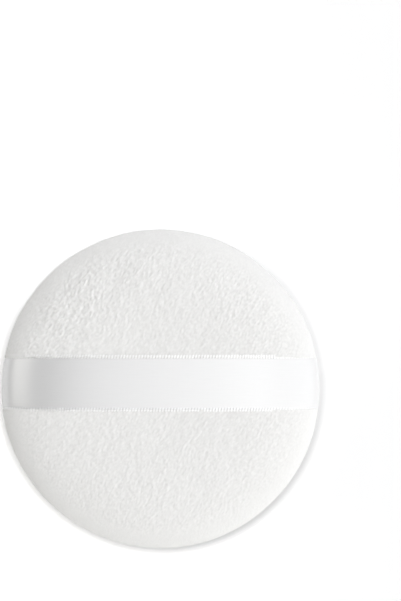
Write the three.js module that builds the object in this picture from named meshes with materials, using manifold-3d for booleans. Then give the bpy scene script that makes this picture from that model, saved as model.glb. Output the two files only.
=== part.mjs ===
// A round powder puff, a velour pad with a satin strap for the fingers, in millimetres.
//
// Two velour covers are sewn together round a sponge and two sheets of wadding. Each cover turns in
// at the seam to make an allowance, and the two allowances are locked together by a needle thread
// and a bobbin thread that link inside every needle hole. A short stretch of the seam is closed by
// hand. The strap lies over the back, is pulled tight over the rim, and its tails are tacked and
// sewn into the seam at both ends.
//
// +Z is up. The puff lies on its powdering face at z = 0, and the strap runs along X.

import * as THREE from "three";
import { mergeVertices } from "three/addons/utils/BufferGeometryUtils.js";
import Module from "manifold-3d";

const wasm = await Module();
wasm.setup();

// Driving sizes of the pad.
const puffDiameter = 85;
const puffThickness = 18.8;
const crownRise = 1.4; // how far a face domes between its rolled edge and its middle
const shoulderPower = 5.5; // a higher power gives a flatter face and a tighter rolled edge
const restFlatDepth = 0.5; // how deep the powdering face is flattened where it lies
const fitClearance = 0.3; // between one layer and the next

// Velour covers.
const coverThickness = 1.8;
const foldRadius = 1.2; // the roll of each cover into the seam
const seamAllowance = 5; // turned-in width inside the stitches
const allowanceThickness = 1.4;

// Filling.
const waddingThickness = 2.2;

// Satin strap.
const ribbonWidth = 15;
const ribbonThickness = 0.4;
const ribbonOffset = 1.5; // from the puff's middle to the strap's centre line
const ribbonSink = 0.15; // into the pile over the crown
const ribbonPress = 0.85; // into the rim at each end
const ribbonBend = 0.3; // inside radius of the turn into the seam
const tailInset = 1; // from the allowance's edge to the end of the tail

// Thread.
const threadDiameter = 0.3;
const threadClearance = 0.15;
const knotThreads = 3.3; // a knot is this many threads thick
const stitchLength = 4.9;
const closingLength = 34; // the stretch left open for the filling, then closed by hand
const tackMargin = 2.4; // from the ribbon's edge to the first stitch of its tack
const tackStitches = 4;

// How finely each form is faceted.
const roundSteps = 48;
const coverSteps = 8;
const liningSteps = 6;
const foldSteps = 3;
const strapSteps = 12;
const bendSteps = 4;
const threadSides = 4;
const stepPower = 1.5; // a higher power draws a dome's steps together towards its axis

const overrun = 0.5; // how far a cutter reaches past what it cuts
const weldDistance = 1e-4; // vertices closer than this are one

const puffRadius = puffDiameter / 2;
const halfThickness = puffThickness / 2;
const seamHeight = halfThickness - restFlatDepth;
const allowanceBottom = fitClearance / 2;
const allowanceTop = allowanceBottom + allowanceThickness;
const liningRadius = puffRadius - coverThickness;
const liningTop = halfThickness - coverThickness;
const threadRadius = threadDiameter / 2;
const knotRadius = (knotThreads * threadDiameter) / 2;
const seamRadius = liningRadius - fitClearance - 2 * knotRadius;
const allowanceRadius = seamRadius - seamAllowance;

const velour = { color: 0xf4f3f1, roughness: 0.95, metalness: 0 };
const satin = { color: 0xf8f8f8, roughness: 0.35, metalness: 0 };
const sponge = { color: 0xfaf3df, roughness: 0.9, metalness: 0 };
const wadding = { color: 0xffffff, roughness: 1, metalness: 0 };
const thread = { color: 0xf2f2f2, roughness: 0.6, metalness: 0 };

// A closed solid from a geometry whose seams are only repeated vertices.
function solidFrom(geometry) {
  const bare = geometry.clone();
  bare.deleteAttribute("normal");
  bare.deleteAttribute("uv");
  const merged = mergeVertices(bare, weldDistance);
  const corners = merged.index.array;
  const kept = [];
  for (let i = 0; i < corners.length; i += 3) {
    const [a, b, c] = corners.subarray(i, i + 3);
    if (a !== b && b !== c && c !== a) kept.push(a, b, c);
  }
  const mesh = new wasm.Mesh({
    numProp: 3,
    vertProperties: merged.attributes.position.array,
    triVerts: new Uint32Array(kept),
  });
  return new wasm.Manifold(mesh);
}

function meshFrom(name, solid, finish) {
  const made = solid.getMesh();
  const geometry = new THREE.BufferGeometry();
  geometry.setAttribute("position", new THREE.BufferAttribute(made.vertProperties, 3));
  geometry.setIndex(new THREE.BufferAttribute(made.triVerts, 1));
  const material = new THREE.MeshStandardMaterial(finish);
  const mesh = new THREE.Mesh(geometry.toNonIndexed(), material);
  mesh.geometry.computeVertexNormals();
  mesh.name = name;
  return mesh;
}

// Turns a profile of radius and height round the puff's axis. Its outline runs either way round.
function revolve(profile) {
  const outline = THREE.ShapeUtils.isClockWise(profile) ? [...profile].reverse() : profile;
  const geometry = new THREE.LatheGeometry(outline, roundSteps);
  return solidFrom(geometry.rotateX(Math.PI / 2));
}

// Lays an outline drawn in X and Z across the puff, with its middle on the strap's centre line.
function layAcross(outline, width) {
  const geometry = new THREE.ExtrudeGeometry(new THREE.Shape(outline), {
    depth: width,
    bevelEnabled: false,
  });
  return solidFrom(geometry.rotateX(Math.PI / 2).translate(0, ribbonOffset + width / 2, 0));
}

// The padded form that every layer follows, from its rim at the base up to the axis: a domed middle
// that rolls over at the shoulder. The steps grow shorter towards the axis to keep the dome round.
function dome(radius, base, top, steps) {
  const points = [];
  for (let i = 0; i <= steps; i++) {
    const angle = (Math.PI / 2) * (1 - (1 - i / steps) ** stepPower);
    const spreadShare = i === steps ? 0 : Math.cos(angle) ** (2 / shoulderPower);
    const rolled = (top - base - crownRise) * Math.sin(angle);
    const domed = crownRise * (1 - spreadShare ** 2);
    points.push(new THREE.Vector2(radius * spreadShare, base + rolled + domed));
  }
  return points;
}

// Points on an arc, from one angle to another.
function arc(centre, radius, from, to, steps) {
  const points = [];
  for (let i = 0; i <= steps; i++) {
    const angle = from + (to - from) * (i / steps);
    const along = new THREE.Vector2(Math.cos(angle), Math.sin(angle));
    points.push(along.multiplyScalar(radius).add(centre));
  }
  return points;
}

function below(profile) {
  return profile.map((point) => new THREE.Vector2(point.x, -point.y));
}

// One velour cover above the seam plane: the domed outside, the roll into the seam, the allowance
// and the lining side. Its outside is flattened by flatDepth where it lies.
function coverProfile(flatDepth) {
  const foldBase = allowanceBottom + foldRadius;
  const outside = dome(puffRadius, foldBase, halfThickness, coverSteps).reverse();
  for (const point of outside) point.y = Math.min(point.y, halfThickness - flatDepth);
  const foldCentre = new THREE.Vector2(puffRadius - foldRadius, foldBase);
  const fold = arc(foldCentre, foldRadius, 0, -Math.PI / 2, foldSteps).slice(1);
  const allowance = [
    new THREE.Vector2(allowanceRadius, allowanceBottom),
    new THREE.Vector2(allowanceRadius, allowanceTop),
  ];
  const lining = dome(liningRadius, allowanceTop, liningTop, liningSteps);
  return [...outside, ...fold, ...allowance, ...lining];
}

const stitchFoot = allowanceTop + threadClearance;
const waddingBase = stitchFoot + 2 * knotRadius + fitClearance;
const waddingTop = liningTop - fitClearance;
const spongeTop = waddingTop - waddingThickness - fitClearance;
const spongeRadius = allowanceRadius - fitClearance;

// A sheet of wadding that caps the sponge and fills the edge between the sponge and the cover. Its
// outside lies along the lining from the height where the seam's thread ends.
function waddingProfile() {
  const hollow = dome(spongeRadius + fitClearance, 0, spongeTop + fitClearance, liningSteps);
  const lining = dome(liningRadius - fitClearance, allowanceTop, waddingTop, liningSteps);
  return [...cutBelow(hollow, waddingBase).reverse(), ...cutBelow(lining, waddingBase)];
}

// Drops the part of a rising profile under a height, and starts it at that height. A profile that
// never rises so far leaves only a flat base.
function cutBelow(profile, height) {
  const first = profile.findIndex((point) => point.y > height);
  if (first < 0) return [new THREE.Vector2(0, height)];
  const above = profile[first];
  const under = profile[first - 1];
  const share = (height - under.y) / (above.y - under.y);
  return [under.clone().lerp(above, share), ...profile.slice(first)];
}

function spongeProfile() {
  const upper = dome(spongeRadius, 0, spongeTop, liningSteps);
  return [...below(upper).reverse(), ...upper.slice(1)];
}

// The strap's centre line leaves the crown, rolls over the rim and turns into the seam.
const strapHalf = ribbonThickness / 2;
const strapRoom = strapHalf + fitClearance;
const strapBend = ribbonBend + strapRoom;
const strapRadius = puffRadius - ribbonPress + strapHalf;
const strapTop = halfThickness - ribbonSink + fitClearance + strapHalf;
const tailEnd = allowanceRadius + tailInset;

// One half of a line that runs beside the centre line, from the crown to the end of the tail.
function besideStrap(offset, tail) {
  const crown = dome(strapRadius + offset, strapBend, strapTop + offset, strapSteps).reverse();
  const bendCentre = new THREE.Vector2(strapRadius - strapBend, strapBend);
  const bend = arc(bendCentre, strapBend + offset, 0, -Math.PI / 2, bendSteps).slice(1);
  return [...crown, ...bend, new THREE.Vector2(tail, -offset)];
}

// Mirrors half a line to the other side of the crown and joins the two.
function acrossBoth(half) {
  const mirrored = half.slice(1).map((point) => new THREE.Vector2(-point.x, point.y));
  return [...mirrored.reverse(), ...half];
}

function strapOutline() {
  const inner = acrossBoth(besideStrap(-strapHalf, tailEnd));
  const outer = acrossBoth(besideStrap(strapHalf, tailEnd));
  return [...inner, ...outer.reverse()];
}

// The room that the strap presses into the covers: all that lies outside its inner face down to the
// seam, and a slot between the allowances for each tail.
function strapRoomOutline() {
  const end = tailEnd - fitClearance;
  const inner = acrossBoth(besideStrap(-strapRoom, end));
  const out = puffRadius + overrun;
  const right = [
    new THREE.Vector2(end, -strapRoom),
    new THREE.Vector2(strapRadius - strapBend, -strapRoom),
    new THREE.Vector2(out, 0),
    new THREE.Vector2(out, halfThickness + overrun),
  ];
  const left = right.map((point) => new THREE.Vector2(-point.x, point.y)).reverse();
  return [...inner, ...right, ...left];
}

// A place on the seam is an angle from the middle of the hand-closed stretch, at the puff's far
// side. The machine's stitches run evenly from one end of that stretch round to the other, and the
// hand's stitches fill it.
const closingAngle = closingLength / seamRadius;
const machineAngle = 2 * Math.PI - closingAngle;
const machineSteps = Math.round((machineAngle * seamRadius) / stitchLength);
const closingSteps = Math.round(closingLength / stitchLength);
const machinePlaces = evenly(closingAngle / 2, machineAngle, machineSteps);
const closingPlaces = evenly(-closingAngle / 2, closingAngle, closingSteps).slice(1, -1);

function evenly(start, length, steps) {
  return Array.from({ length: steps + 1 }, (_, i) => start + length * (i / steps));
}

const linkOffset = threadDiameter + threadClearance; // a loop's legs from the hole's middle
const stitchReach = linkOffset + Math.SQRT2 * (threadRadius + threadClearance);
const tackReach = Math.SQRT2 * (threadRadius + threadClearance);
const threadHeight = stitchFoot + threadRadius;

// A point beside a place on the seam, along the seam and outwards across it.
function seamPoint(place, along, across, height) {
  const angle = Math.PI / 2 + place + along / seamRadius;
  const radius = seamRadius + across;
  return new THREE.Vector3(radius * Math.cos(angle), radius * Math.sin(angle), height);
}

// A four-sided hole through both allowances, with its corners at a reach from its middle.
function needleHole(middle, reach, angle) {
  const depth = 2 * (allowanceTop + overrun);
  const geometry = new THREE.CylinderGeometry(reach, reach, depth, 4);
  geometry.rotateX(Math.PI / 2).rotateZ(angle);
  return solidFrom(geometry.translate(middle.x, middle.y, 0));
}

function joined(solids) {
  return solids.reduce((all, next) => all.add(next));
}

function seamHoles() {
  const places = [...machinePlaces, ...closingPlaces];
  return joined(places.map((place) => needleHole(seamPoint(place, 0, 0, 0), stitchReach, place)));
}

// A path with one step at each of its points, so that a thread's section sits in every corner.
class StitchPath extends THREE.Curve {
  constructor(points) {
    super();
    this.points = points;
    this.steps = points.length - 1;
  }

  getPointAt(share) {
    return this.points[Math.round(share * this.steps)].clone();
  }

  getTangentAt(share) {
    const number = Math.round(share * this.steps);
    const here = this.points[number];
    const before = this.points[Math.max(number - 1, 0)];
    const after = this.points[Math.min(number + 1, this.steps)];
    const arriving = here.clone().sub(before).normalize();
    const leaving = after.clone().sub(here).normalize();
    return arriving.add(leaving).normalize();
  }
}

function threadAlong(points) {
  const section = new THREE.Shape(
    arc(new THREE.Vector2(), threadRadius, 0, 2 * Math.PI, threadSides).slice(1),
  );
  const path = new StitchPath(points);
  const options = { steps: path.steps, extrudePath: path, bevelEnabled: false };
  return solidFrom(new THREE.ExtrudeGeometry(section, options));
}

// The needle thread lies on the upper allowance and dips a loop into each hole. The bobbin thread
// lies under the lower one and lifts a loop, square to the first, that hooks over it.
const linkHeight = (threadDiameter + threadClearance) / 2;

function needleThread() {
  const points = [];
  for (const place of machinePlaces) {
    points.push(seamPoint(place, -linkOffset, 0, threadHeight));
    points.push(seamPoint(place, -linkOffset, 0, -linkHeight));
    points.push(seamPoint(place, linkOffset, 0, -linkHeight));
    points.push(seamPoint(place, linkOffset, 0, threadHeight));
  }
  return threadAlong(points);
}

function bobbinThread() {
  const points = [];
  machinePlaces.forEach((place, number) => {
    const side = number % 2 ? linkOffset : -linkOffset;
    points.push(seamPoint(place, 0, side, -threadHeight));
    points.push(seamPoint(place, 0, side, linkHeight));
    points.push(seamPoint(place, 0, -side, linkHeight));
    points.push(seamPoint(place, 0, -side, -threadHeight));
  });
  return threadAlong(points);
}

// A thread that goes down and up through one hole after another, from the back cover's allowance to
// a lower height. It starts and ends on that allowance, where a knot stands on it, so with an odd
// number of holes it doesn't go through the last.
function runningThread(middles, lower) {
  const points = [];
  middles.forEach((middle, number) => {
    const heights = number % 2 ? [lower, threadHeight] : [threadHeight, lower];
    for (const height of heights) points.push(new THREE.Vector3(middle.x, middle.y, height));
  });
  if (middles.length % 2) points.pop();
  const knots = [middles[0], middles[middles.length - 1]].map((middle) => {
    const geometry = new THREE.IcosahedronGeometry(knotRadius, 0);
    return solidFrom(geometry.translate(middle.x, middle.y, stitchFoot + knotRadius));
  });
  return joined([threadAlong(points), ...knots]);
}

function closingThread() {
  return runningThread(closingPlaces.map((place) => seamPoint(place, 0, 0, 0)), -threadHeight);
}

// Before the seam is sewn, a row of tacking holds each tail to the back cover's allowance, halfway
// between the seam's holes and the end of the tail.
const tackRadius = (seamRadius - stitchReach + tailEnd) / 2;
const tackDrop = strapHalf + threadClearance + threadRadius;

function tackMiddles(side) {
  const length = ribbonWidth - 2 * tackMargin;
  const across = evenly(ribbonOffset - length / 2, length, tackStitches - 1);
  return across.map((y) => new THREE.Vector3(side * tackRadius, y, 0));
}

function tackHoles(side) {
  return joined(tackMiddles(side).map((middle) => needleHole(middle, tackReach, 0)));
}

// The face cover's allowance is pressed in where the tack's thread lies against it.
function tackRoom(side) {
  const reach = threadRadius + fitClearance;
  const length = ribbonWidth - 2 * tackMargin + 2 * reach;
  const depth = tackDrop + reach;
  const geometry = new THREE.BoxGeometry(2 * reach, length, depth);
  return solidFrom(geometry.translate(side * tackRadius, ribbonOffset, -depth / 2));
}

const sides = { left: -1, right: 1 };
const room = layAcross(strapRoomOutline(), ribbonWidth + 2 * fitClearance);
const holes = seamHoles();
const tacked = joined([tackHoles(sides.left), tackHoles(sides.right)]);
const tackRooms = joined([tackRoom(sides.left), tackRoom(sides.right)]);

const backCover = revolve(coverProfile(0)).subtract(room).subtract(holes).subtract(tacked);
const faceCover = revolve(below(coverProfile(restFlatDepth)))
  .subtract(room)
  .subtract(holes)
  .subtract(tackRooms);
const strap = layAcross(strapOutline(), ribbonWidth).subtract(holes).subtract(tacked);

// Everything is placed from the seam plane, which is half the puff's thickness up.
const puff = new THREE.Group();
puff.name = "powder_puff";
puff.position.z = seamHeight;
puff.add(
  meshFrom("back_cover", backCover, velour),
  meshFrom("face_cover", faceCover, velour),
  meshFrom("back_wadding", revolve(waddingProfile()), wadding),
  meshFrom("face_wadding", revolve(below(waddingProfile())), wadding),
  meshFrom("sponge_core", revolve(spongeProfile()), sponge),
  meshFrom("strap_ribbon", strap, satin),
  meshFrom("needle_thread", needleThread(), thread),
  meshFrom("bobbin_thread", bobbinThread(), thread),
  meshFrom("closing_thread", closingThread(), thread),
);
for (const [name, side] of Object.entries(sides)) {
  const tack = runningThread(tackMiddles(side), -tackDrop);
  puff.add(meshFrom(name + "_tack_thread", tack, thread));
}

export default puff;
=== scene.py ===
"""The looks of a round powder puff: two velour covers sewn round a sponge and wadding, with a satin
strap over the back. Forms are worked out in millimetres round the seam plane and then placed."""

import bpy
import numpy as np
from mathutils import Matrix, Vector


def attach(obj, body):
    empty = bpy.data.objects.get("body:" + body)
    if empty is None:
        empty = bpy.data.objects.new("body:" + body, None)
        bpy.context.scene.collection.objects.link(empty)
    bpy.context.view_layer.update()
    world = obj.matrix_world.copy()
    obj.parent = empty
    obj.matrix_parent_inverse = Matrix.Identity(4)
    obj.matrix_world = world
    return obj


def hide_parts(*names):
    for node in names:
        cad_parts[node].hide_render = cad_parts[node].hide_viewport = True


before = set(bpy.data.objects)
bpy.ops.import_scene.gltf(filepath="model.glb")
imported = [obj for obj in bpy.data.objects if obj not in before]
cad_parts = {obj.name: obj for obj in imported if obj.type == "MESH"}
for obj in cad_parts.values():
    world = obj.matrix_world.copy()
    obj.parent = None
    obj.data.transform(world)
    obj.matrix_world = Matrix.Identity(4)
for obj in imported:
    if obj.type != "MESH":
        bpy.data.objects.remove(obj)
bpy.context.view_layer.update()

# The camera. It looks straight down on the strap side, from far enough off that the rim is seen
# without perspective, and the puff lies left of and below the middle of the picture.
MM = 0.001
PICTURE_PIXELS = (401, 601)
PIXELS_PER_MM = 3.747
PUFF_CENTRE_PIXELS = (160.25, 388.5)
SEAM_HEIGHT = 8.9
LENS = 250
SENSOR = 36
CAMERA_SIGHT = (0.05, 20)

view_height = PICTURE_PIXELS[1] / PIXELS_PER_MM
view_centre = (
    (PICTURE_PIXELS[0] / 2 - PUFF_CENTRE_PIXELS[0]) / PIXELS_PER_MM,
    (PUFF_CENTRE_PIXELS[1] - PICTURE_PIXELS[1] / 2) / PIXELS_PER_MM,
)
camera_height = SEAM_HEIGHT + view_height * LENS / SENSOR

camera_data = bpy.data.cameras.new("overhead_camera")
camera_data.lens = LENS
camera_data.sensor_width = SENSOR
camera_data.clip_start, camera_data.clip_end = CAMERA_SIGHT
camera = bpy.data.objects.new("overhead_camera", camera_data)
camera.location = Vector((*view_centre, camera_height)) * MM
bpy.context.scene.collection.objects.link(camera)
bpy.context.scene.camera = camera
bpy.context.scene.view_settings.view_transform = "Standard"


# The studio. The puff lies on a plain white table. The room is pale on the right and dark on the
# left down to the horizon, with a long softbox just right of overhead and a short, broad one low on
# the left. The table shows the camera white, with painted light that grows towards the left over
# the puff's shadow there, and a thin painted grey shadow line round the rim where the puff lies on
# it.
def put(tree, kind, inputs=None, **settings):
    """Adds a node. The settings are its own; each input is given a value or linked to a socket."""
    made = tree.nodes.new("ShaderNode" + kind)
    for name, value in settings.items():
        setattr(made, name, value)
    for name, value in (inputs or {}).items():
        if isinstance(value, bpy.types.NodeSocket):
            tree.links.new(value, made.inputs[name])
        else:
            made.inputs[name].default_value = value
    return made


def ramp(tree, value, ends=(0.0, 1.0), results=(0.0, 1.0), **settings):
    """A value that runs from one result to another while the given one runs between two ends."""
    limits = {
        "From Min": ends[0],
        "From Max": ends[1],
        "To Min": results[0],
        "To Max": results[1],
    }
    return put(tree, "MapRange", {"Value": value, **limits}, **settings).outputs["Result"]


def reckon(tree, operation, first, second=0.0):
    """The result of one operation on one value or two."""
    return put(tree, "Math", {0: first, 1: second}, operation=operation).outputs[0]


def mixed(tree, share, first, second):
    """A colour between two colours, by the share of the second."""
    return put(tree, "Mix", {0: share, 6: first, 7: second}, data_type="RGBA").outputs[2]


def new_material(name):
    """A material and its node tree, which starts empty."""
    material = bpy.data.materials.new(name)
    material.use_nodes = True
    material.node_tree.nodes.clear()
    return material, material.node_tree


def softbox(name, place, target, size, watts, colour):
    """A rectangular lamp at a place, turned to face a target, both in metres."""
    data = bpy.data.lights.new(name, "AREA")
    data.shape = "RECTANGLE"
    data.size, data.size_y = size
    data.energy = watts
    data.color = colour
    lamp = bpy.data.objects.new(name, data)
    lamp.location = place
    lamp.rotation_euler = (Vector(target) - Vector(place)).to_track_quat("-Z", "Y").to_euler()
    lamp.visible_camera = False
    bpy.context.scene.collection.objects.link(lamp)


# Each softbox has its middle and half its width in degrees from overhead towards +X, its shift
# towards +Y and its length in metres, its brightness and its colour.
BOX_DISTANCE = 2.0
for name, middle, half, shift, length, glow, colour in (
    ("overhead_softbox", 7.5, 7.5, 0.0, 3.0, 0.78, (1.0, 1.0, 1.0)),
    ("left_softbox", -53.5, 18.0, 0.5, 1.3, 1.85, (1.0, 0.99, 0.95)),
):
    lean = np.radians(middle)
    width = 2 * BOX_DISTANCE * np.tan(np.radians(half))
    place = (BOX_DISTANCE * np.sin(lean), shift, BOX_DISTANCE * np.cos(lean))
    softbox(name, place, (0, shift, 0), (length, width), glow * np.pi * width * length, colour)

ROOM_GLOW = (0.06, 1.19)
ROOM_TURNS = np.radians([-15, 3.5])
HORIZON_GLOW = (0.5, 1.15)
HORIZON_SIDES = (-0.7, 0.2)
HORIZON_RISE = (0.04, 0.19)
ROOM_FRONT_TO_BACK = (1.15, 0.93)
ROOM_ENDS_GLOW = (1.0, 1.6)
ROOM_ENDS_SPAN = (0.5, 0.95)
FRONT_TINT = (1.0, 0.996, 0.98, 1)
BACK_TINT = (0.985, 0.992, 1.025, 1)

world = bpy.data.worlds.new("studio_room")
bpy.context.scene.world = world
world.use_nodes = True
tree = world.node_tree
tree.nodes.clear()
direction = put(tree, "SeparateXYZ", {"Vector": put(tree, "TexCoord").outputs["Generated"]}).outputs
leaning = reckon(tree, "ARCTAN2", direction["X"], direction["Z"])
sideways = ramp(tree, leaning, ROOM_TURNS, ROOM_GLOW, interpolation_type="SMOOTHSTEP")
low_down = ramp(tree, direction["Z"], HORIZON_RISE, (1.0, 0.0), interpolation_type="SMOOTHSTEP")
horizon = ramp(tree, direction["X"], HORIZON_SIDES, HORIZON_GLOW)
either = ramp(tree, low_down, results=(sideways, horizon))
crossways = ramp(tree, direction["Y"], (-1.0, 1.0))
towards_front = ramp(tree, crossways, results=ROOM_FRONT_TO_BACK)
ends = ramp(tree, reckon(tree, "ABSOLUTE", direction["Y"]), ROOM_ENDS_SPAN, ROOM_ENDS_GLOW)
strength = reckon(tree, "MULTIPLY", either, reckon(tree, "MULTIPLY", towards_front, ends))
tint = mixed(tree, crossways, FRONT_TINT, BACK_TINT)
room = put(tree, "Background", {"Color": tint, "Strength": strength})
put(tree, "OutputWorld", {"Surface": room.outputs[0]})

TABLE_HALF = 20
TABLE_GAP = 0.00002
TABLE_COLOUR = 0.88
# The table's camera-seen gain rises towards the left: painted light that covers the puff's shadow
# there.
TABLE_SEEN_PAINTED_LIGHT = (2.0, 1.03)
PAINTED_LIGHT_SPAN = (-45 * MM, 45 * MM)
# A painted shadow: a soft grey ring on the table just round the puff's rim, darkest in front.
PAINTED_SHADOW_DEPTH = (0.42, 0.08)
PAINTED_SHADOW_SPAN = (-43 * MM, 43 * MM)
PAINTED_SHADOW_EDGE = (43.35 * MM, 45.7 * MM)
table_mesh = bpy.data.meshes.new("table_top")
corners = ((-1, -1), (1, -1), (1, 1), (-1, 1))
table_mesh.from_pydata(
    [(x * TABLE_HALF, y * TABLE_HALF, -TABLE_GAP) for x, y in corners], [], [(0, 1, 2, 3)]
)
table = bpy.data.objects.new("table_top", table_mesh)
bpy.context.scene.collection.objects.link(table)
table_white, tree = new_material("table_white")
place = put(tree, "TexCoord").outputs["Object"]
part = put(tree, "SeparateXYZ", {"Vector": place}).outputs
reach = put(tree, "VectorMath", {0: place}, operation="LENGTH").outputs["Value"]
# Painted light brighter to the left, and a painted shadow ring round the rim, darker in front.
painted_light_gain = ramp(tree, part["X"], PAINTED_LIGHT_SPAN, TABLE_SEEN_PAINTED_LIGHT)
depth = ramp(tree, part["Y"], PAINTED_SHADOW_SPAN, PAINTED_SHADOW_DEPTH)
painted_shadow = reckon(tree, "MULTIPLY", ramp(tree, reach, PAINTED_SHADOW_EDGE, (1, 0)), depth)
seen = reckon(tree, "MULTIPLY", painted_light_gain, reckon(tree, "SUBTRACT", 1.0, painted_shadow))
path = put(tree, "LightPath").outputs
mirrored = reckon(tree, "MAXIMUM", path["Is Glossy Ray"], path["Is Transmission Ray"])
plain = ramp(tree, mirrored, results=(TABLE_COLOUR, 1.0))
shade = ramp(tree, path["Is Camera Ray"], results=(plain, seen))
colour = put(tree, "CombineColor", {"Red": shade, "Green": shade, "Blue": shade}).outputs[0]
matt = put(tree, "BsdfDiffuse", {"Color": colour})
put(tree, "OutputMaterial", {"Surface": matt.outputs[0]})
table_mesh.materials.append(table_white)


# The sponge core. A round of cream open-cell foam gives the pad its body, cut with the same shallow
# crown and rolled edge on both faces. It is held only by the covers sewn round it.
SHOULDER_POWER = 5.5
CROWN_RISE = 1.4
SPONGE_RADIUS = 34.1
SPONGE_TOP = 4.8
SPONGE_POINTS = 90
OUTLINE_POINTS = 600
AROUND = 256
CLOTH_SIZE = 128.0
CLOTH_CELLS = 1024
SHEEN_ROUGHNESS = 0.45


def dome(radius, base, top, count=OUTLINE_POINTS):
    """A padded form's outline from its axis down to its rim, as radius and height. With an angle
    falling from a right angle to nought, the radius follows its cosine to the power 2 / 5.5 and the
    height its sine, and a shallow parabola is added for the crown."""
    angle = np.pi / 2 * (1 - np.linspace(0, 1, count) ** 3)
    share = np.cos(angle) ** (2 / SHOULDER_POWER)
    share[0] = 0
    height = base + (top - base - CROWN_RISE) * np.sin(angle) + CROWN_RISE * (1 - share**2)
    return np.column_stack([radius * share, height])


def lengths_of(line):
    """The length along a line of points, from its start to each point."""
    return np.append(0, np.cumsum(np.linalg.norm(np.diff(line, axis=0), axis=1)))


def evenly_along(line, count):
    """Points spaced evenly by length along a line of points, and the length at each."""
    length = lengths_of(line)
    at = np.linspace(0, length[-1], count)
    return np.column_stack([np.interp(at, length, line[:, k]) for k in range(line.shape[1])]), at


def smooth_step(value, low, high):
    """Nought below low and one above high. Between them it is three times the square of the share
    of the way less twice its cube."""
    share = np.clip((value - low) / (high - low), 0, 1)
    return share * share * (3 - 2 * share)


def noise_cloth(seed, finest, coarsest, steep=1.0, lean=0.0, stretch=1.0):
    """A square cloth of seeded noise that repeats at its edges, scaled to a spread of one. Waves
    shorter than the finest are left out, and longer ones grow with their length to a power up to
    the coarsest. The noise is stretched along a direction that leans by an angle."""
    rng = np.random.default_rng(seed)
    wave = np.fft.fftfreq(CLOTH_CELLS, CLOTH_SIZE / CLOTH_CELLS)
    kx, ky = np.meshgrid(wave, wave, indexing="ij")
    with_grain = kx * np.cos(lean) + ky * np.sin(lean)
    over_grain = ky * np.cos(lean) - kx * np.sin(lean)
    pace = np.hypot(over_grain, with_grain * stretch)
    kept = np.exp(-((pace * finest) ** 8)) / np.maximum(pace, 1 / coarsest) ** steep
    kept[0, 0] = 0
    plain = rng.standard_normal((CLOTH_CELLS, CLOTH_CELLS))
    cloth = np.fft.ifft2(np.fft.fft2(plain) * kept).real
    return cloth / cloth.std()


def read_cloth(cloth, x, y):
    """The noise at points in millimetres, blended between the four cells round each point by how
    near they are."""
    u, v = x * CLOTH_CELLS / CLOTH_SIZE, y * CLOTH_CELLS / CLOTH_SIZE
    i, j = np.floor(u).astype(int), np.floor(v).astype(int)
    fu, fv = u - i, v - j
    i, j, i1, j1 = (k % CLOTH_CELLS for k in (i, j, i + 1, j + 1))
    return (
        cloth[i, j] * (1 - fu) * (1 - fv)
        + cloth[i1, j] * fu * (1 - fv)
        + cloth[i, j1] * (1 - fu) * fv
        + cloth[i1, j1] * fu * fv
    )


def new_piece(name, points, faces, material, uv, fields=None):
    """Makes a smooth mesh piece from points in millimetres round the seam plane, with its cloth
    coordinates and any fields of numbers on its vertices. It rides on the puff's only body."""
    mesh = bpy.data.meshes.new(name)
    placed = (points + np.array([0, 0, SEAM_HEIGHT])) * MM
    mesh.from_pydata(placed, [], faces)
    corners = np.zeros(len(mesh.loops), np.int32)
    mesh.loops.foreach_get("vertex_index", corners)
    layer = mesh.uv_layers.new(name="cloth")
    layer.data.foreach_set("uv", uv[corners].astype(np.float32).ravel())
    for field, values in (fields or {}).items():
        attribute = mesh.attributes.new(field, "FLOAT", "POINT")
        attribute.data.foreach_set("value", values.astype(np.float32))
    mesh.polygons.foreach_set("use_smooth", np.ones(len(mesh.polygons), bool))
    mesh.materials.append(material)
    mesh.update()
    piece = bpy.data.objects.new(name, mesh)
    bpy.context.scene.collection.objects.link(piece)
    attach(piece, "root")
    return piece


def ring_faces(index, climbing):
    """Quads between rings of points, one ring to a row. They face out where the rings climb, or
    else where the rings go down."""
    here, above = index[:-1], index[1:]
    quads = np.stack([here, np.roll(here, -1, 1), np.roll(above, -1, 1), above], -1).reshape(-1, 4)
    return (quads if climbing else quads[:, ::-1]).tolist()


def fan_faces(pole, ring, climbing):
    """Triangles that close a ring with a pole. They face out where the pole comes after the ring
    and the rings climb, or else where it comes before, or after rings that go down."""
    fan = np.stack([ring, np.roll(ring, -1), np.full(len(ring), pole)], -1)
    return (fan if climbing else fan[:, ::-1]).tolist()


def turned_form(outline, rough):
    """Turns an outline, from the lower end of the axis round the rim to the upper end, and pushes
    each point out from the outline by a rough amount read at its cloth coordinates."""
    angle = np.linspace(0, 2 * np.pi, AROUND, endpoint=False)
    line, length = evenly_along(outline, len(outline))
    slope = np.gradient(line, axis=0)
    outward = np.column_stack([slope[:, 1], -slope[:, 0]])
    outward /= np.linalg.norm(outward, axis=1, keepdims=True)
    u = length[1:-1, None] * np.cos(angle)
    v = length[1:-1, None] * np.sin(angle)
    push = rough(u, v)
    radius = line[1:-1, 0, None] + push * outward[1:-1, 0, None]
    z = line[1:-1, 1, None] + push * outward[1:-1, 1, None]
    rings = np.stack([radius * np.cos(angle), radius * np.sin(angle), z], -1).reshape(-1, 3)
    poles = [[0, 0, line[0, 1]], [0, 0, line[-1, 1]]]
    count = len(line) - 2
    index = 2 + np.arange(count * AROUND).reshape(count, AROUND)
    faces = ring_faces(index, climbing=True)
    faces += fan_faces(0, index[0], climbing=False) + fan_faces(1, index[-1], climbing=True)
    uv = np.concatenate([[[0, 0], [0, length[-1]]], np.stack([u, v], -1).reshape(-1, 2)])
    return np.concatenate([poles, rings]), faces, uv


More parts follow.
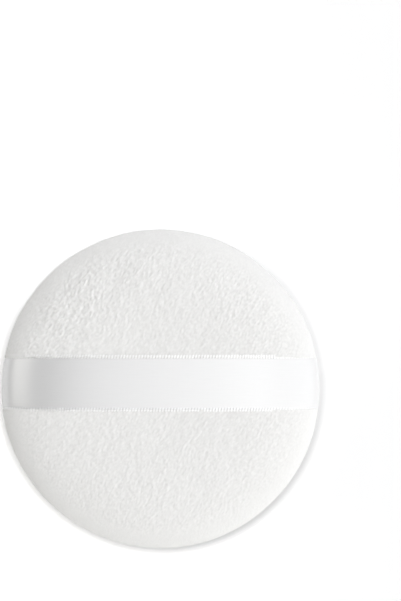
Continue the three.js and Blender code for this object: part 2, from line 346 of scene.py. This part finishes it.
def fibre_group():
    """A node group for laid fibres: noise drawn out along one direction of the cloth, by scales
    along and across it, with places that wander. It puts out a height between nought and one."""
    group = bpy.data.node_groups.new("laid_fibres", "ShaderNodeTree")
    face = group.interface
    face.new_socket("Vector", in_out="INPUT", socket_type="NodeSocketVector")
    for name in ("Lean", "Along", "Across", "Wander"):
        face.new_socket(name, in_out="INPUT", socket_type="NodeSocketFloat")
    face.new_socket("Height", in_out="OUTPUT", socket_type="NodeSocketFloat")
    start = group.nodes.new("NodeGroupInput")
    end = group.nodes.new("NodeGroupOutput")
    drift = put(
        group, "TexNoise", {"Vector": start.outputs["Vector"], "Scale": 0.13, "Detail": 1.0}
    )
    centred = put(
        group, "VectorMath", {0: drift.outputs["Color"], 1: (0.5, 0.5, 0.5)}, operation="SUBTRACT"
    )
    wander = put(
        group,
        "VectorMath",
        {"Vector": centred.outputs[0], "Scale": start.outputs["Wander"]},
        operation="SCALE",
    )
    moved = put(
        group, "VectorMath", {0: start.outputs["Vector"], 1: wander.outputs[0]}, operation="ADD"
    )
    back = reckon(group, "MULTIPLY", start.outputs["Lean"], -1.0)
    turned = put(
        group,
        "VectorRotate",
        {"Vector": moved.outputs[0], "Axis": (0, 0, 1), "Angle": back},
    )
    scale = put(
        group,
        "CombineXYZ",
        {"X": start.outputs["Along"], "Y": start.outputs["Across"], "Z": start.outputs["Across"]},
    )
    drawn = put(
        group, "VectorMath", {0: turned.outputs[0], 1: scale.outputs[0]}, operation="MULTIPLY"
    )
    fibres = put(
        group,
        "TexNoise",
        {"Vector": drawn.outputs[0], "Scale": 1.0, "Detail": 3.0, "Roughness": 0.6},
    )
    group.links.new(ramp(group, fibres.outputs[0], (0.25, 0.75)), end.inputs["Height"])
    return group


laid_fibres = fibre_group()


def fibres_on(tree, vector, **values):
    """The height of laid fibres on a vector, with a material's own values."""
    node = put(tree, "Group", node_tree=laid_fibres)
    tree.links.new(vector, node.inputs["Vector"])
    for name, value in values.items():
        node.inputs[name].default_value = value
    return node.outputs["Height"]


def raised(tree, height, strength, distance):
    """A normal for a relief that is too fine for the mesh, its distance given in millimetres."""
    values = {"Strength": strength, "Distance": distance * MM, "Height": height}
    return put(tree, "Bump", values).outputs[0]


def finish(tree, colour, normal, roughness, sheen=0.0, specular=0.3, metallic=0.0):
    """Ends a cloth material in its shader and its output."""
    surface = put(
        tree,
        "BsdfPrincipled",
        {
            "Base Color": colour,
            "Roughness": roughness,
            "Normal": normal,
            "Sheen Weight": sheen,
            "Sheen Roughness": SHEEN_ROUGHNESS,
            "Specular IOR Level": specular,
            "Metallic": metallic,
        },
    )
    put(tree, "OutputMaterial", {"Surface": surface.outputs[0]})


FOAM_PALE = (0.90, 0.86, 0.74, 1)
FOAM_PORE_SHADE = (0.72, 0.66, 0.52, 1)
CELL_DEPTH = 0.09
CELLS_IN_A_METRE = 900.0
CELL_SPAN = (0.0, 0.7)
sponge_foam, tree = new_material("sponge_foam")
place = put(tree, "TexCoord").outputs["Object"]
cells = put(
    tree, "TexVoronoi", {"Vector": place, "Scale": CELLS_IN_A_METRE}, feature="SMOOTH_F1"
)
pores = ramp(tree, cells.outputs["Distance"], CELL_SPAN)
# The colour darkens with the bump's hollows: painted shade in each pore of the foam.
colour = mixed(tree, pores, FOAM_PORE_SHADE, FOAM_PALE)
relief = raised(tree, pores, strength=0.8, distance=0.3)
finish(tree, colour, relief, roughness=0.9)

upper = dome(SPONGE_RADIUS, 0, SPONGE_TOP, SPONGE_POINTS)
outline = np.concatenate([upper * [1, -1], upper[::-1][1:]])
foam_cells = noise_cloth(11, finest=0.8, coarsest=1.6, steep=0.0)
points, faces, uv = turned_form(
    outline, lambda u, v: -CELL_DEPTH * np.abs(read_cloth(foam_cells, u, v))
)
sponge = new_piece("foam_core", points, faces, sponge_foam, uv)
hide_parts("sponge_core")


# The two sheets of wadding. Each is a sheet of loose white fibre that caps one face of the sponge
# and thickens towards the rim, where it fills the edge of the cover. It lies there unfixed.
WADDING_BASE = 2.99
WADDING_INNER = (34.41, 5.1)
WADDING_OUTER = (40.4, 7.3)
ALLOWANCE_TOP = 1.55
WADDING_PALE = (0.93, 0.93, 0.93, 1)
WADDING_FIBRE_SHADE = (0.78, 0.78, 0.78, 1)
LUMP_DEPTH = 0.07
LUMP_SINK = 0.1
WADDING_POINTS = 80

wadding_fibre, tree = new_material("wadding_fibre")
cloth = put(tree, "UVMap", uv_map="cloth").outputs[0]
fluff = fibres_on(tree, cloth, Lean=0.3, Along=0.7, Across=2.2, Wander=14.0)
# The colour darkens where the fibre bump is low: painted shade between the fibres.
colour = mixed(tree, fluff, WADDING_FIBRE_SHADE, WADDING_PALE)
relief = raised(tree, fluff, strength=0.9, distance=0.4)
finish(tree, colour, relief, roughness=1.0, sheen=0.3)


def above(line, height):
    """The part of a rising outline that lies above a height, starting just on it."""
    line = line[np.argsort(line[:, 1])]
    radius = np.interp(height, line[:, 1], line[:, 0])
    return np.concatenate([[[radius, height]], line[line[:, 1] > height]])


inner = dome(WADDING_INNER[0], 0, WADDING_INNER[1], WADDING_POINTS)
outer = dome(WADDING_OUTER[0], ALLOWANCE_TOP, WADDING_OUTER[1], WADDING_POINTS)
wadding_outline = np.concatenate([above(inner, WADDING_BASE)[::-1], above(outer, WADDING_BASE)])
lumps = noise_cloth(23, finest=2.4, coarsest=5.0, steep=0.5)
for name, node, side, shift in (
    ("wadding_back", "back_wadding", 1, 0),
    ("wadding_face", "face_wadding", -1, 40),
):
    points, faces, uv = turned_form(
        wadding_outline, lambda u, v: LUMP_DEPTH * read_cloth(lumps, u + shift, v) - LUMP_SINK
    )
    points[:, 2] *= side
    if side < 0:
        faces = [face[::-1] for face in faces]
    wadding = new_piece(name, points, faces, wadding_fibre, uv)
    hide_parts(node)


# The two velour covers. Each is a round of knitted velour, brushed so that its short white pile
# leans one way, turned in at the rim. The back cover is pressed down where the strap lies.
RIM_RADIUS = 42.49
COVER_TOP = 9.4
ROLL_BASE = 1.35
SEAM_GAP = 0.04
ALLOWANCE_RADIUS = 34.41
LINING_RADIUS = 40.7
LINING_TOP = 7.6
REST_FLAT = SEAM_HEIGHT
REST_EASE = 0.12
STITCHES_ROUND = 51

# The strap's line, which the back cover follows too. It is tighter on the left than on the right.
STRAP_MIDDLE = 1.5
STRAP_SIDES = (42.18, 42.3)
STRAP_SIDES_SPAN = (-12, 12)
STRAP_TOP = 9.44
STRAP_BASE = 0.87
STRAP_ROLL = 0.75
STRAP_HALF = 0.125
STRAP_BED = 0.03
STRAP_COVERS = (6.5, 7.0)

# The pile. Each ruffle has its direction in degrees, its spread in radians and its strength. The
# brim that the strap presses up along both its edges and the groove along its upper one have their
# distance from its middle, their spread and their depth.
PILE_LEAN = np.radians(54)
PILE_DEPTH = 0.034
UNEVEN_DEPTH = 0.03
NAP_SPREAD = 0.17
PAINTED_FIBRE_SHADE = (-0.15, 0.15)
FLANK_PILE_LESS = 0.7
FLANK_SPAN = (36, 41)
RUFFLES = ((137, 0.6, 1.2), (40, 0.5, 0.55))
RUFFLE_SPAN = (18, 32)
RIM_DRAW = (0.2, 0.1)
RIM_DRAW_REACH = 4.5
RIM_DRAW_BESIDE = (6, 13)
PUCKER_DEPTH = 0.12
PUCKER_REACH = 2.0
PILE_ENDS = 0.5
BRIM = (7.2, 0.35, 0.04)
GROOVE = (7.85, 0.3, 0.05)
VELOUR_PALE = (0.915, 0.912, 0.898, 1)
VELOUR_DARK_TONE_AND_SHADE = (0.81, 0.807, 0.795, 1)
FACE_SHIFT = 60
COVER_CELLS = 500
HIDDEN_CELLS = 10
LINING_RINGS = 14
BEND_POINTS = 60
RUN_POINTS = 30


def hill(value, middle, spread):
    """A bell curve: e to the power of minus the square of the distance from its middle, which is
    counted in spreads."""
    return np.exp(-(((value - middle) / spread) ** 2))


def rolled_outline(radius, base, top, roll, inner):
    """A dome's outline from the axis, then a quarter circle that rolls the rim under, then a
    straight run in to an inner radius."""
    angle = np.linspace(0, -np.pi / 2, BEND_POINTS)[1:]
    bend = np.column_stack([radius - roll + roll * np.cos(angle), base + roll * np.sin(angle)])
    run_in = np.linspace(bend[-1, 0], inner, RUN_POINTS)[1:]
    run = np.column_stack([run_in, np.full(RUN_POINTS - 1, bend[-1, 1])])
    return np.concatenate([dome(radius, base, top), bend, run])


def strap_outline(side, offset, inner=ALLOWANCE_RADIUS):
    """The strap's line on one side of the crown, moved out from its middle by an offset."""
    radius, roll = STRAP_SIDES[side] + offset, STRAP_ROLL + offset
    return rolled_outline(radius, STRAP_BASE, STRAP_TOP + offset, roll, inner)


def right_share(x):
    """Nought on the left of the crown and one on the right, with a smooth rise between."""
    return smooth_step(x, *STRAP_SIDES_SPAN)


def disc_grid(cells):
    """A square grid bent to a disc. The distance from the middle is the larger of a point's two
    grid coordinates, and the angle runs evenly along each side of the square."""
    step = np.linspace(-1, 1, cells + 1)
    a, b = np.meshgrid(step, step, indexing="ij")
    wide = np.abs(a) > np.abs(b)
    safe_a = np.where(a == 0, 1, a)
    safe_b = np.where(b == 0, 1, b)
    flat_angle = np.pi / 4 * b / safe_a + np.where(a < 0, np.pi, 0)
    steep_angle = np.pi / 2 * np.sign(b) - np.pi / 4 * a / safe_b
    return np.maximum(np.abs(a), np.abs(b)), np.where(wide, flat_angle, steep_angle)


pile_relief = noise_cloth(3, finest=0.62, coarsest=6.0, steep=0.75, lean=PILE_LEAN, stretch=1.7)
pile_shade = noise_cloth(5, finest=0.52, coarsest=2.0, steep=0.0, lean=PILE_LEAN, stretch=1.6)
cover_unevenness = noise_cloth(9, finest=8.0, coarsest=24.0)

velour_pile, tree = new_material("velour_pile")
cloth = put(tree, "UVMap", uv_map="cloth").outputs[0]
fibres = fibres_on(tree, cloth, Lean=PILE_LEAN, Along=1.8, Across=5.0, Wander=2.0)
nap = put(tree, "Attribute", attribute_name="nap").outputs["Fac"]
# The colour follows the nap's random tone and the fibre height, which paints shade between the
# fibres and lighter tips.
share = reckon(tree, "ADD", nap, ramp(tree, fibres, results=PAINTED_FIBRE_SHADE))
colour = mixed(tree, share, VELOUR_DARK_TONE_AND_SHADE, VELOUR_PALE)
relief = raised(tree, fibres, strength=0.7, distance=0.07)
finish(tree, colour, relief, roughness=0.95, sheen=0.2, specular=0.15)


def velour_cover(name, node, side):
    """One cover. Seen from its face, the outside is a disc grid carried down the outline by length,
    and the lining is rings from the allowance's edge back to the axis. Under the strap the outline
    becomes the strap's own, and near the strap's ends the rim is drawn in."""
    roll = ROLL_BASE - SEAM_GAP
    outside = rolled_outline(RIM_RADIUS, ROLL_BASE, COVER_TOP, roll, ALLOWANCE_RADIUS)
    lengths = lengths_of(outside)
    seam_length = lengths[-RUN_POINTS]
    distance, angle = disc_grid(COVER_CELLS)
    hidden = 1 - 2 * HIDDEN_CELLS / COVER_CELLS
    length = np.interp(distance, [0, hidden, 1], [0, seam_length, lengths[-1]])
    radius = np.interp(length, lengths, outside[:, 0])
    z = np.interp(length, lengths, outside[:, 1])
    if side < 0:
        z = REST_FLAT - REST_EASE * np.log1p(np.exp((REST_FLAT - z) / REST_EASE))
    rightness = right_share(radius * np.cos(angle))
    beyond = radius * np.sin(angle) - STRAP_MIDDLE
    beside = np.abs(beyond)
    draw = RIM_DRAW[0] + (RIM_DRAW[1] - RIM_DRAW[0]) * rightness
    draw *= hill(length, seam_length, RIM_DRAW_REACH)
    draw *= 1 - smooth_step(beside, *RIM_DRAW_BESIDE)
    pucker = 0.5 - 0.5 * np.cos(STITCHES_ROUND * (angle - np.pi / 2))
    pucker *= PUCKER_DEPTH * hill(length, seam_length, PUCKER_REACH)
    radius = radius - draw - pucker
    covered = (1 - smooth_step(beside, *STRAP_COVERS)) * (side > 0)
    if side > 0:
        left, right = (strap_outline(k, -STRAP_HALF - STRAP_BED) for k in (0, 1))
        line = [
            np.interp(length, lengths, left[:, k]) * (1 - rightness)
            + np.interp(length, lengths, right[:, k]) * rightness
            for k in (0, 1)
        ]
        radius = radius * (1 - covered) + line[0] * covered
        z = z * (1 - covered) + line[1] * covered
    points = np.stack([radius * np.cos(angle), radius * np.sin(angle), z], -1)
    facing = np.cross(np.gradient(points, axis=0), np.gradient(points, axis=1))
    facing /= np.linalg.norm(facing, axis=-1, keepdims=True)
    u, v = length * np.cos(angle), length * np.sin(angle)
    shift = FACE_SHIFT * (side < 0)
    relief = read_cloth(pile_relief, u + shift, v)
    shade = read_cloth(pile_shade, u + shift, v)
    depth = 1 - FLANK_PILE_LESS * smooth_step(length, *FLANK_SPAN)
    ruffled = smooth_step(length, *RUFFLE_SPAN)
    for towards, spread, amount in RUFFLES:
        turned = np.angle(np.exp(1j * (angle - np.radians(towards))))
        depth = depth * (1 + amount * ruffled * hill(turned, 0, spread))
    showing = (1 - covered) * (1 - smooth_step(length, seam_length - PILE_ENDS, seam_length))
    lift = depth * PILE_DEPTH * relief + UNEVEN_DEPTH * read_cloth(cover_unevenness, u, v)
    brim = BRIM[2] * hill(beside, *BRIM[:2])
    groove = GROOVE[2] * hill(beyond, *GROOVE[:2])
    lift = (lift + (brim - groove) * (side > 0)) * showing
    points = points + lift[..., None] * facing
    nap = np.clip(0.5 + NAP_SPREAD * shade * depth * showing, 0, 1)
    if side < 0:
        points[..., 2] = np.minimum(points[..., 2], REST_FLAT)

    count = COVER_CELLS + 1
    index = np.arange(count * count).reshape(count, count)
    quads = np.stack([index[:-1, :-1], index[1:, :-1], index[1:, 1:], index[:-1, 1:]], -1)
    edge = np.concatenate([index[:-1, 0], index[-1, :-1], index[:0:-1, -1], index[0, :0:-1]])
    edge_angle = angle.ravel()[edge]
    lining = dome(LINING_RADIUS, ALLOWANCE_TOP, LINING_TOP)[::-1]
    inside, inside_at = evenly_along(
        np.concatenate([[[ALLOWANCE_RADIUS, SEAM_GAP], [ALLOWANCE_RADIUS, ALLOWANCE_TOP]], lining]),
        LINING_RINGS + 2,
    )
    rings = np.stack(
        [
            inside[1:-1, 0, None] * np.cos(edge_angle),
            inside[1:-1, 0, None] * np.sin(edge_angle),
            np.broadcast_to(inside[1:-1, 1, None], (LINING_RINGS, len(edge))),
        ],
        -1,
    ).reshape(-1, 3)
    pole = len(rings) + count * count
    ring_index = np.concatenate(
        [edge[None], count * count + np.arange(len(rings)).reshape(LINING_RINGS, -1)]
    )
    faces = quads.reshape(-1, 4).tolist() + ring_faces(ring_index, climbing=False)
    faces += fan_faces(pole, ring_index[-1], climbing=False)
    ring_length = lengths[-1] + inside_at[1:-1, None]
    ring_uv = np.stack([ring_length * np.cos(edge_angle), ring_length * np.sin(edge_angle)], -1)
    pole_uv = [[0, lengths[-1] + inside_at[-1]]]
    uv = np.concatenate([np.stack([u, v], -1).reshape(-1, 2), ring_uv.reshape(-1, 2), pole_uv])
    points = np.concatenate([points.reshape(-1, 3), rings, [[0, 0, LINING_TOP]]])
    nap = np.concatenate([nap.ravel(), np.full(len(rings) + 1, 0.5)])
    if side < 0:
        points[:, 2] *= -1
        faces = [face[::-1] for face in faces]
    cover = new_piece(name, points, faces, velour_pile, uv, {"nap": nap})
    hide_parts(node)


velour_cover("velour_back", "back_cover", 1)
velour_cover("velour_face", "face_cover", -1)


# The strap. It is double-faced white satin ribbon with a row of fine yarn loops along each edge. It
# lies across the back, is pulled over the rim and turned into the seam, where both tails are sewn.
TAIL_END = 35.41
BODY_HALF = 6.68
BODY_RINGS = 440
BODY_ACROSS = 44
LINE_POINTS = 1500
SLOPE_STEP = 0.05
WEFT_PITCH = 0.33
WAVE_SCALE = 2 * np.pi / 20
EDGE_POWER = 16
BENT_SPAN = (20, 34)
SATIN_PALE = (0.86, 0.86, 0.86, 1)
SATIN_WEAVE_SHADE = (0.82, 0.82, 0.82, 1)
LOOP_PITCH = 0.79
LOOP_LINES = {-1: 6.92, 1: 7.12}
LOOP_STEPS = 7
YARN_RADIUS = 0.147
YARN_FLATNESS = 0.26
YARN_SECTION = np.array(
    [(1, 0), (0.8, 0.75), (0.5, 1), (-0.5, 1), (-0.8, 0.75), (-1, 0), (-0.6, -1), (0.6, -1)]
)
LOOP_SIDES = len(YARN_SECTION)
LOOP_HALF_GAP = 0.11
LOOP_LIFT = 0.07
LOOP_SLANT = 0.25
LOOP_ROOT = -0.52
LOOP_TIP = 0.27
YARN_PALE = (1.0, 1.0, 1.0, 1)
YARN_TWIST_SHADE = (0.98, 0.98, 0.98, 1)

strap_lines = [evenly_along(strap_outline(side, 0, TAIL_END), LINE_POINTS) for side in (0, 1)]
STRAP_HALF_LENGTH = strap_lines[0][1][-1]


def strap_surface(along, across, offset):
    """A point of the ribbon, from its length along the strap, its place across and its height over
    the middle of the cloth. The strap's line is followed by length. Towards the rim each line
    across the ribbon bends to the puff's circle, and its height is read at its own radius."""
    y = STRAP_MIDDLE + across
    rightness = right_share(along)

    def at(length, k):
        """The radius or height of the strap's line at a length, shared between its two sides."""
        left, right = (np.interp(length, spaced, line[:, k]) for line, spaced in strap_lines)
        return left * (1 - rightness) + right * rightness

    length = np.abs(along)
    middle = at(length, 0)
    bent = smooth_step(middle, *BENT_SPAN)
    x = np.sqrt(np.maximum(middle**2 - bent * y**2, 0)) * np.sign(along)
    radius = np.maximum(np.hypot(x, y), 1e-6)
    there = length + radius - middle
    ahead, behind = there + SLOPE_STEP, there - SLOPE_STEP
    slope = np.stack([at(ahead, k) - at(behind, k) for k in (0, 1)])
    slope /= np.linalg.norm(slope, axis=0)
    outward, upward = -slope[1] * offset, slope[0] * offset
    wider = 1 + outward / radius
    return np.stack([x * wider, y * wider, at(there, 1) + upward], -1)


white_satin, tree = new_material("white_satin")
cloth = put(tree, "UVMap", uv_map="cloth").outputs[0]
threads = fibres_on(tree, cloth, Lean=0.0, Along=0.2, Across=3.0, Wander=0.0)
ribs = put(
    tree,
    "TexWave",
    {"Vector": cloth, "Scale": WAVE_SCALE / WEFT_PITCH, "Distortion": 0.4},
    bands_direction="X",
).outputs["Fac"]
share = ramp(tree, reckon(tree, "ADD", threads, ribs), (0.0, 2.0))
# The colour darkens where the weave bump is low: painted shade in the weave's troughs.
colour = mixed(tree, share, SATIN_WEAVE_SHADE, SATIN_PALE)
tangent = put(tree, "Tangent", direction_type="UV_MAP", uv_map="cloth")
satin = put(
    tree,
    "BsdfPrincipled",
    {
        "Base Color": colour,
        "Metallic": 0.33,
        "Roughness": 0.42,
        "Anisotropic": 0.6,
        "Anisotropic Rotation": 0.25,
        "Tangent": tangent.outputs[0],
        "Normal": raised(tree, share, strength=0.25, distance=0.006),
    },
)
put(tree, "OutputMaterial", {"Surface": satin.outputs[0]})

along = np.linspace(-STRAP_HALF_LENGTH, STRAP_HALF_LENGTH, BODY_RINGS)
across = BODY_HALF * np.sin(np.linspace(-np.pi / 2, np.pi / 2, BODY_ACROSS))
thickness = STRAP_HALF * np.sqrt(np.maximum(1 - (across / BODY_HALF) ** EDGE_POWER, 0))
ring_across = np.concatenate([across, across[-2:0:-1]])
ring_offset = np.concatenate([thickness, -thickness[-2:0:-1]])
around = len(ring_across)
grid_along = np.broadcast_to(along[:, None], (BODY_RINGS, around))
body = strap_surface(grid_along, ring_across + 0 * grid_along, ring_offset + 0 * grid_along)
ends = strap_surface(along[[0, -1]], np.zeros(2), np.zeros(2))
index = np.arange(BODY_RINGS * around).reshape(BODY_RINGS, around)
pole = index.size
faces = ring_faces(index, climbing=False)
faces += fan_faces(pole, index[0], climbing=True) + fan_faces(pole + 1, index[-1], climbing=False)
uv = np.stack([grid_along, ring_across + 0 * grid_along], -1).reshape(-1, 2)
uv = np.concatenate([uv, [[along[0], 0], [along[-1], 0]]])
points = np.concatenate([body.reshape(-1, 3), ends])
strap = new_piece("satin_strap", points, faces, white_satin, uv)
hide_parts("strap_ribbon")

loop_yarn, tree = new_material("loop_yarn")
cloth = put(tree, "UVMap", uv_map="cloth").outputs[0]
twist = fibres_on(tree, cloth, Lean=0.5, Along=2.0, Across=9.0, Wander=0.0)
# The colour darkens where the twist bump is low: painted shade in the yarn's grooves.
colour = mixed(tree, twist, YARN_TWIST_SHADE, YARN_PALE)
relief = raised(tree, twist, strength=0.25, distance=0.01)
finish(tree, colour, relief, roughness=0.28, specular=0.7, metallic=0.62)

loop_count = int(2 * STRAP_HALF_LENGTH / LOOP_PITCH) - 1
loop_middle = (np.arange(loop_count) - (loop_count - 1) / 2) * LOOP_PITCH
turn = np.linspace(np.pi, 0, LOOP_STEPS - 2)
yarn_along = LOOP_HALF_GAP * np.cos(turn[[0, *range(LOOP_STEPS - 2), -1]])
yarn_out = np.concatenate([[LOOP_ROOT], LOOP_TIP + LOOP_HALF_GAP * np.sin(turn), [LOOP_ROOT]])
yarn_slope = np.stack([np.gradient(yarn_along), np.gradient(yarn_out)])
yarn_slope /= np.linalg.norm(yarn_slope, axis=0)
wide, tall = (YARN_RADIUS * YARN_SECTION * (1, YARN_FLATNESS)).T
local_along = yarn_along[:, None] - yarn_slope[1][:, None] * wide
local_out = yarn_out[:, None] + yarn_slope[0][:, None] * wide
local_up = LOOP_LIFT + tall + 0 * yarn_out[:, None]
all_points, all_faces, all_uv = [], [], []
for edge in (-1, 1):
    at_along = loop_middle[:, None, None] + edge * (local_along + LOOP_SLANT * local_out)
    at_across = edge * (LOOP_LINES[edge] + local_out) + 0 * at_along
    points = strap_surface(at_along, at_across, local_up + 0 * at_along)
    all_points.append(points.reshape(-1, 3))
    all_uv.append(np.stack([at_along, at_across], -1).reshape(-1, 2))
size = LOOP_STEPS * LOOP_SIDES
loop_index = np.arange(size).reshape(LOOP_STEPS, LOOP_SIDES)
one_loop = np.array(ring_faces(loop_index, climbing=True))
ends = np.stack([loop_index[0][::-1], loop_index[-1]])
for number in range(2 * loop_count):
    all_faces += (one_loop + number * size).tolist() + (ends + number * size).tolist()
loops = new_piece(
    "strap_edge_loops",
    np.concatenate(all_points),
    all_faces,
    loop_yarn,
    np.concatenate(all_uv),
)


# The sewing threads. They are white three-ply polyester: a needle thread and a bobbin thread that
# link in the seam's holes, one that closes by hand the stretch left for the filling, and two that
# tack the strap's tails.
THREAD_RADIUS = 0.15
THREAD_SIDES = 9
PLY_PITCH = 0.9
PLY_DEPTH = 0.12
PATH_STEP = 0.14
SEAM_RADIUS = 39.41
STITCH_LEG = 0.45
THREAD_HEIGHT = 1.85
LINK_HEIGHT = 0.225
CLOSING_STEPS = 7
TACK_RADIUS = 36.97
TACK_DROP = 0.5
TACK_Y = np.linspace(-3.6, 6.6, 4)
KNOT_RADIUS = 0.495
KNOT_RIDGE = 0.1
KNOT_RINGS = 12
KNOT_SIDES = 24
KNOT_LIFT = 0.15
THREAD_PALE = (0.95, 0.95, 0.95, 1)
THREAD_TWIST_SHADE = (0.82, 0.82, 0.82, 1)

sewing_thread, tree = new_material("sewing_thread")
cloth = put(tree, "UVMap", uv_map="cloth").outputs[0]
twist = fibres_on(tree, cloth, Lean=0.7, Along=1.5, Across=10.0, Wander=0.0)
# The colour darkens where the twist bump is low: painted shade in the grooves between the plies.
colour = mixed(tree, twist, THREAD_TWIST_SHADE, THREAD_PALE)
relief = raised(tree, twist, strength=0.5, distance=0.02)
finish(tree, colour, relief, roughness=0.55, sheen=0.1, specular=0.5)


def seam_points(place, along, across, height):
    """Points beside places on the seam, along the seam and outwards across it."""
    angle = np.pi / 2 + place + along / SEAM_RADIUS
    radius = SEAM_RADIUS + across
    return np.stack([radius * np.cos(angle), radius * np.sin(angle), height + 0 * angle], -1)


def rounded(path, reach=0.3):
    """A path with its corners eased: each straight run gets a point near both its ends, and then
    corners are cut to quarters three times, so the path bends only close to where it turned."""
    step = np.diff(path, axis=0)
    length = np.linalg.norm(step, axis=1, keepdims=True)
    near = step / length * np.minimum(reach, length / 3)
    path = np.concatenate(
        [path[:1], np.stack([path[:-1] + near, path[1:] - near, path[1:]], 1).reshape(-1, 3)]
    )
    for _ in range(3):
        first, second = path[:-1], path[1:]
        cut = np.stack([0.75 * first + 0.25 * second, 0.25 * first + 0.75 * second], 1)
        path = np.concatenate([path[:1], cut.reshape(-1, 3), path[-1:]])
    return path


def along_and_in(path):
    """The direction halfway between along the seam and in across it, which no stitch ever takes."""
    out = path * [1, 1, 0] / np.linalg.norm(path[:, :2], axis=1, keepdims=True)
    return np.stack([-out[:, 1] - out[:, 0], out[:, 0] - out[:, 1], 0 * out[:, 0]], -1)


def ply_tube(path):
    """A three-ply thread along a path. Its section is a circle whose radius rises and falls three
    times round, and one ply takes the next one's place in each ply pitch."""
    path, length = evenly_along(path, int(lengths_of(path)[-1] / PATH_STEP))
    slope = np.gradient(path, axis=0)
    slope /= np.linalg.norm(slope, axis=1, keepdims=True)
    guide = along_and_in(path)
    side = guide - np.sum(guide * slope, axis=1, keepdims=True) * slope
    side /= np.linalg.norm(side, axis=1, keepdims=True)
    up = np.cross(slope, side)
    angle = np.arange(THREAD_SIDES) * 2 * np.pi / THREAD_SIDES
    lobes = np.cos(3 * (angle - 2 * np.pi * length[:, None] / PLY_PITCH / 3))
    radius = (THREAD_RADIUS * (1 - PLY_DEPTH + PLY_DEPTH * lobes))[..., None]
    rings = path[:, None] + radius * (
        side[:, None] * np.cos(angle)[:, None] + up[:, None] * np.sin(angle)[:, None]
    )
    index = np.arange(rings.size // 3).reshape(len(path), THREAD_SIDES)
    faces = ring_faces(index, climbing=True)
    faces += fan_faces(index.size, index[0], climbing=False)
    faces += fan_faces(index.size + 1, index[-1], climbing=True)
    points = np.concatenate([rings.reshape(-1, 3), path[[0, -1]]])
    uv = np.stack(np.broadcast_arrays(length[:, None], angle * THREAD_RADIUS), -1).reshape(-1, 2)
    return points, faces, np.concatenate([uv, [[0, 0], [length[-1], 0]]])


def knot(middle):
    """A small ball of wound thread: a sphere whose radius has four slanting ridges round it."""
    tilt = np.linspace(-np.pi / 2, np.pi / 2, KNOT_RINGS + 2)[1:-1, None]
    angle = np.linspace(0, 2 * np.pi, KNOT_SIDES, endpoint=False)
    radius = KNOT_RADIUS * (1 - KNOT_RIDGE + KNOT_RIDGE * np.cos(4 * angle + 5 * tilt))
    rings = np.stack(
        [
            radius * np.cos(tilt) * np.cos(angle),
            radius * np.cos(tilt) * np.sin(angle),
            radius * np.sin(tilt) + 0 * angle,
        ],
        -1,
    )
    pole = (1 - KNOT_RIDGE) * KNOT_RADIUS
    points = np.concatenate([rings.reshape(-1, 3), [[0, 0, -pole], [0, 0, pole]]]) + middle
    index = np.arange(KNOT_RINGS * KNOT_SIDES).reshape(KNOT_RINGS, KNOT_SIDES)
    faces = ring_faces(index, climbing=True)
    faces += fan_faces(index.size, index[0], climbing=False)
    faces += fan_faces(index.size + 1, index[-1], climbing=True)
    return points, faces, points[:, :2]


def thread_piece(name, node, parts):
    """Joins closed forms into one piece of thread that stands for a node."""
    points, faces, uv = [], [], []
    for part_points, part_faces, part_uv in parts:
        first = sum(len(p) for p in points)
        faces += [[corner + first for corner in face] for face in part_faces]
        points.append(part_points)
        uv.append(part_uv)
    piece = new_piece(
        name, np.concatenate(points), faces, sewing_thread, np.concatenate(uv)
    )
    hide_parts(node)


stitch_angle = 2 * np.pi / STITCHES_ROUND
closing_angle = CLOSING_STEPS * stitch_angle
machine_places = closing_angle / 2 + stitch_angle * np.arange(STITCHES_ROUND - CLOSING_STEPS + 1)
leg, link, top = STITCH_LEG, LINK_HEIGHT, THREAD_HEIGHT
dip = [(-leg, top), (-leg, -link), (leg, -link), (leg, top)]
needle_path = np.stack([seam_points(machine_places, a, 0, h) for a, h in dip], 1).reshape(-1, 3)
flip = np.where(np.arange(len(machine_places)) % 2, 1, -1) * leg
rise = [(flip, -top), (flip, link), (-flip, link), (-flip, -top)]
bobbin_path = np.stack([seam_points(machine_places, 0, a, h) for a, h in rise], 1).reshape(-1, 3)
thread_piece("seam_needle_thread", "needle_thread", [ply_tube(rounded(needle_path))])
thread_piece("seam_bobbin_thread", "bobbin_thread", [ply_tube(rounded(bobbin_path))])


def running_thread(middles, lower):
    """A thread that goes down and up through one hole after another, with a knot at each end."""
    count = len(middles)
    up, down = [lower, THREAD_HEIGHT], [THREAD_HEIGHT, lower]
    heights = np.where(np.arange(count)[:, None] % 2, up, down)
    path = np.concatenate([np.repeat(middles, 2, axis=0), heights.reshape(-1, 1)], axis=1)
    path = path[: 2 * count - count % 2]
    knots = [knot([*middles[k], ALLOWANCE_TOP + KNOT_RADIUS + KNOT_LIFT]) for k in (0, -1)]
    return [ply_tube(rounded(path)), *knots]


closing_places = -closing_angle / 2 + stitch_angle * np.arange(1, CLOSING_STEPS)
closing_middles = seam_points(closing_places, 0, 0, 0)[:, :2]
closing_parts = running_thread(closing_middles, -THREAD_HEIGHT)
thread_piece("closing_hand_thread", "closing_thread", closing_parts)
for name, node, side in (
    ("tack_thread_left", "left_tack_thread", -1),
    ("tack_thread_right", "right_tack_thread", 1),
):
    middles = np.column_stack([np.full(len(TACK_Y), side * TACK_RADIUS), TACK_Y])
    thread_piece(name, node, running_thread(middles, -TACK_DROP))
